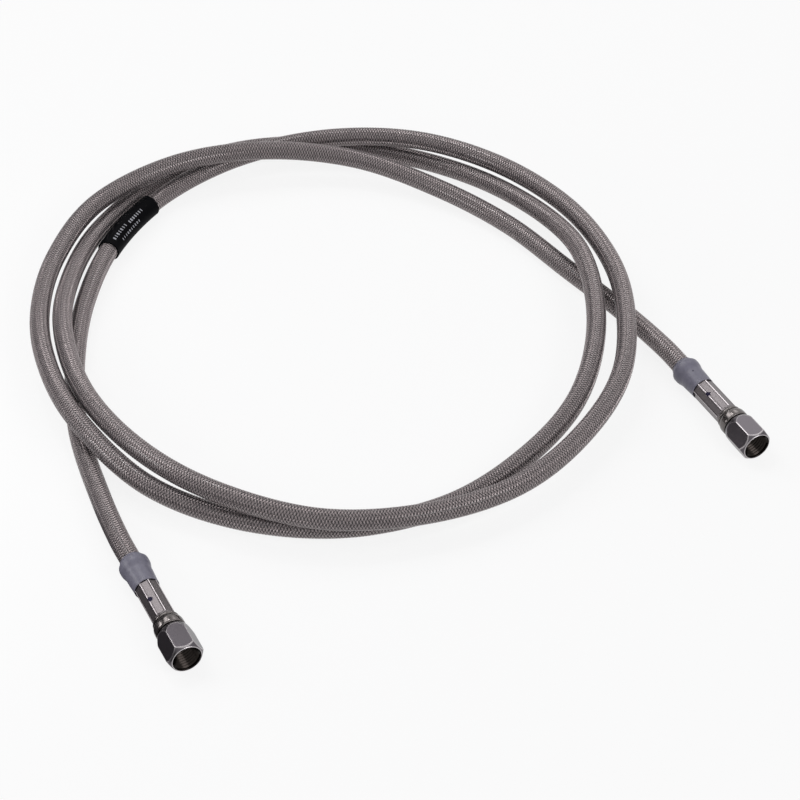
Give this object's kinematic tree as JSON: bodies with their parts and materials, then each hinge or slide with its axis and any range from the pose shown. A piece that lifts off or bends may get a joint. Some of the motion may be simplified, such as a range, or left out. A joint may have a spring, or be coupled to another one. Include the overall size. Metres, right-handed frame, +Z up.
{
  "type": "brake hose",
  "caption": "Long braided steel brake hose under a clear cover, lying in a loose coil, with a crimped fitting and swivel nut at each end.",
  "frame": {"origin": "on the surface that the hose lies on, midway between the two end fittings, at the bottom centre of their common box", "axes": "+Z up from that surface, +X from fitting a towards fitting b, +Y away from the fittings' mouths across the coil"},
  "size_m": [0.2676, 0.2936, 0.0178],
  "materials": {
    "liner": "smooth white fluoroplastic",
    "braid": "woven stainless wire",
    "clear_cover": "clear, smooth and glossy",
    "band": "satin black shrink film",
    "shrink_sleeve": "satin blue-grey shrink tube",
    "ferrule_steel": "plated, crimped, satin",
    "nipple_steel": "turned and polished",
    "nut_steel": "dark nickel, bright at the edges"
  },
  "bodies": {
    "hose_assembly": {"hose_liner": "liner", "steel_braid": "braid", "clear_cover": "clear_cover", "label_sleeve": "band", "heat_shrink_a": "shrink_sleeve", "heat_shrink_b": "shrink_sleeve", "crimp_ferrule_a": "ferrule_steel", "crimp_ferrule_b": "ferrule_steel", "nipple_a": "nipple_steel", "nipple_b": "nipple_steel"},
    "nut_a": {"swivel_nut_a": "nut_steel"},
    "nut_b": {"swivel_nut_b": "nut_steel"}
  },
  "joints": [
    {"name": "nut_a_spin", "type": "hinge", "parent": "hose_assembly", "child": "nut_a", "pos_m": [-0.08923, -0.06594, 0.00556], "axis": [0.4401, -0.898, 0], "continuous": true},
    {"name": "nut_b_spin", "type": "hinge", "parent": "hose_assembly", "child": "nut_b", "pos_m": [0.10331, 0.03437, 0.00556], "axis": [0.4528, -0.8916, 0], "continuous": true}
  ]
}
